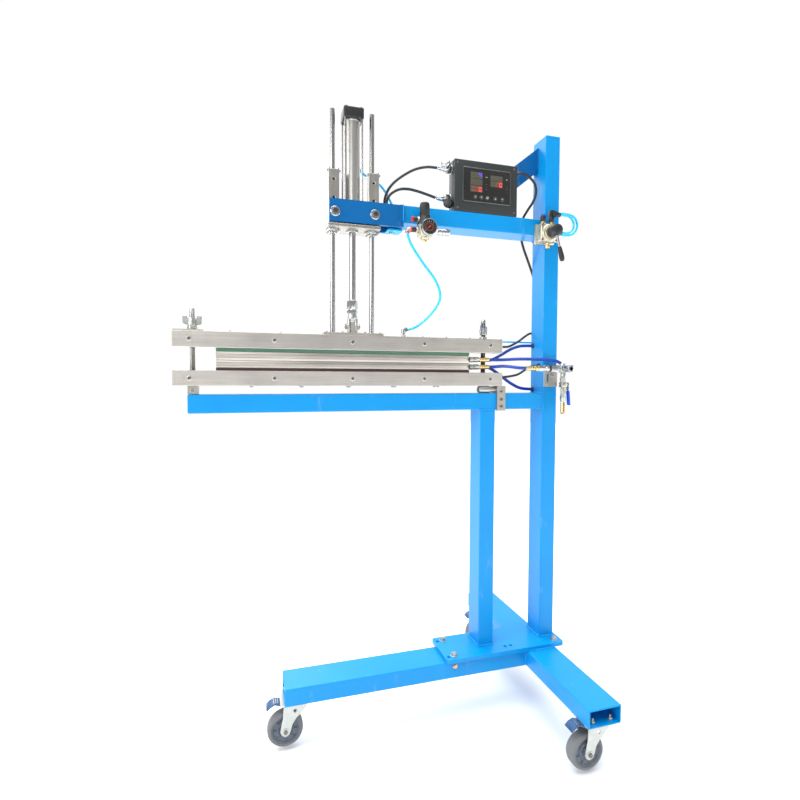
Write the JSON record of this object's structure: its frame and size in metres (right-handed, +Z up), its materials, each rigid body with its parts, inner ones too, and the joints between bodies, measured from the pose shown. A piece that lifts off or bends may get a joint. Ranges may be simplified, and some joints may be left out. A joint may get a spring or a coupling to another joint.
{
  "type": "pneumatic impulse heat sealer",
  "caption": "Wheeled stand with a pneumatic upper jaw that slides down guide rods onto a fixed lower jaw to heat seal wide bags.",
  "frame": {"origin": "middle of the stand's footprint, on the floor under the casters", "axes": "+Z up, +X along the jaws from their free end towards the tall column, +Y from the operator's side to the back"},
  "size_m": [0.935, 0.602, 1.444],
  "materials": {
    "blue_paint": "gloss powder coat",
    "dark_blue_paint": "gloss powder coat",
    "aluminium": "machined, satin",
    "steel": "ground and chromed",
    "zinc": "zinc plated",
    "insulation": "glass laminate",
    "black_plastic": "satin",
    "panel_glass": "gloss",
    "tread": "matt",
    "brass": "bright",
    "cast_body": "satin",
    "blue_hose": "gloss",
    "cyan_tube": "gloss",
    "black_cable": "satin"
  },
  "bodies": {
    "frame": {"base_cross_tube": "blue_paint", "base_leg_tube": "blue_paint", "base_plate": "blue_paint", "control_box": "black_plastic", "control_panel": "panel_glass", "cylinder_barrel": "aluminium", "cylinder_front_cap": "black_plastic", "cylinder_rear_cap": "black_plastic", "diagonal_brace": "dark_blue_paint", "front_post": "blue_paint", "guide_block_left": "aluminium", "guide_block_right": "aluminium", "hand_valve_body": "cast_body", "head_plate": "aluminium", "head_yoke": "dark_blue_paint", "jaw_air_tube": "cyan_tube", "left_support_block": "aluminium", "lower_beam": "blue_paint", "lower_front_rail": "aluminium", "lower_insulation_strip": "black_plastic", "lower_jaw_core": "aluminium", "lower_rear_rail": "aluminium", "lower_seal_bar": "aluminium", "lower_water_hose_front": "blue_hose", "lower_water_hose_rear": "blue_hose", "manifold_bracket": "aluminium", "pressure_gauge": "black_plastic", "regulator_body": "cast_body", "right_support_bracket": "aluminium", "tall_column": "blue_paint", "upper_arm": "blue_paint", "upper_heater_cable": "black_cable", "upper_water_hose_front": "blue_hose", "upper_water_hose_rear": "blue_hose", "water_manifold": "brass"},
    "upper_jaw": {"guide_rod_left": "steel", "guide_rod_right": "steel", "piston_rod": "steel", "rod_clevis": "zinc", "clevis_pin": "steel", "jaw_top_plate": "aluminium", "upper_front_rail": "aluminium", "upper_rear_rail": "aluminium", "upper_jaw_core": "aluminium", "upper_insulation_strip": "insulation", "upper_seal_bar": "aluminium"},
    "left_wing_screw": {"left_wing_screw": "steel"},
    "right_wing_screw": {"right_wing_screw": "steel"},
    "regulator_knob": {"regulator_knob": "black_plastic"},
    "hand_valve_lever": {"hand_valve_lever": "black_plastic"},
    "ball_valve_lever": {"ball_valve_lever": "blue_hose"},
    "caster_left_fork": {"caster_left_fork": "zinc"},
    "caster_left_wheel": {"caster_left_wheel": "tread"},
    "caster_left_pedal": {"caster_left_pedal": "dark_blue_paint"},
    "caster_front_fork": {"caster_front_fork": "zinc"},
    "caster_front_wheel": {"caster_front_wheel": "tread"},
    "caster_front_pedal": {"caster_front_pedal": "dark_blue_paint"},
    "caster_rear_fork": {"caster_rear_fork": "zinc"},
    "caster_rear_wheel": {"caster_rear_wheel": "tread"},
    "caster_rear_pedal": {"caster_rear_pedal": "dark_blue_paint"}
  },
  "joints": [
    {"name": "upper_jaw_slide", "type": "slide", "parent": "frame", "child": "upper_jaw", "axis": [0, 0, 1], "range_m": [0, 0.15], "deforming": ["jaw_air_tube", "upper_water_hose_rear", "upper_water_hose_front"]},
    {"name": "left_wing_screw_turn", "type": "hinge", "parent": "upper_jaw", "child": "left_wing_screw", "pos_m": [-0.431, 0.006, 0.961], "axis": [0, 0, 1], "continuous": true},
    {"name": "right_wing_screw_turn", "type": "hinge", "parent": "upper_jaw", "child": "right_wing_screw", "pos_m": [0.25, 0.006, 0.961], "axis": [0, 0, 1], "continuous": true},
    {"name": "regulator_knob_turn", "type": "hinge", "parent": "frame", "child": "regulator_knob", "pos_m": [0.073, -0.05, 1.2187], "axis": [0, 0, 1], "continuous": true},
    {"name": "hand_valve_swing", "type": "hinge", "parent": "frame", "child": "hand_valve_lever", "pos_m": [0.3991, -0.08, 1.1915], "axis": [0, 1, 0], "range_deg": [-30, 60]},
    {"name": "ball_valve_turn", "type": "hinge", "parent": "frame", "child": "ball_valve_lever", "pos_m": [0.4546, -0.049, 0.817], "axis": [1, 0, 0], "range_deg": [-90, 0]},
    {"name": "caster_left_swivel", "type": "hinge", "parent": "frame", "child": "caster_left_fork", "pos_m": [-0.2215, -0.014, 0.103], "axis": [0, 0, 1], "continuous": true},
    {"name": "caster_left_roll", "type": "hinge", "parent": "caster_left_fork", "child": "caster_left_wheel", "pos_m": [-0.2435, -0.014, 0.04], "axis": [0, 1, 0], "continuous": true},
    {"name": "caster_left_brake", "type": "hinge", "parent": "caster_left_fork", "child": "caster_left_pedal", "pos_m": [-0.2515, -0.014, 0.099], "axis": [0, 1, 0], "range_deg": [-12, 0]},
    {"name": "caster_front_swivel", "type": "hinge", "parent": "frame", "child": "caster_front_fork", "pos_m": [0.3885, -0.264, 0.103], "axis": [0, 0, 1], "continuous": true},
    {"name": "caster_front_roll", "type": "hinge", "parent": "caster_front_fork", "child": "caster_front_wheel", "pos_m": [0.3665, -0.264, 0.04], "axis": [0, 1, 0], "continuous": true},
    {"name": "caster_front_brake", "type": "hinge", "parent": "caster_front_fork", "child": "caster_front_pedal", "pos_m": [0.3585, -0.264, 0.099], "axis": [0, 1, 0], "range_deg": [-12, 0]},
    {"name": "caster_rear_swivel", "type": "hinge", "parent": "frame", "child": "caster_rear_fork", "pos_m": [0.3885, 0.264, 0.103], "axis": [0, 0, 1], "continuous": true},
    {"name": "caster_rear_roll", "type": "hinge", "parent": "caster_rear_fork", "child": "caster_rear_wheel", "pos_m": [0.3665, 0.264, 0.04], "axis": [0, 1, 0], "continuous": true},
    {"name": "caster_rear_brake", "type": "hinge", "parent": "caster_rear_fork", "child": "caster_rear_pedal", "pos_m": [0.3585, 0.264, 0.099], "axis": [0, 1, 0], "range_deg": [-12, 0]}
  ]
}
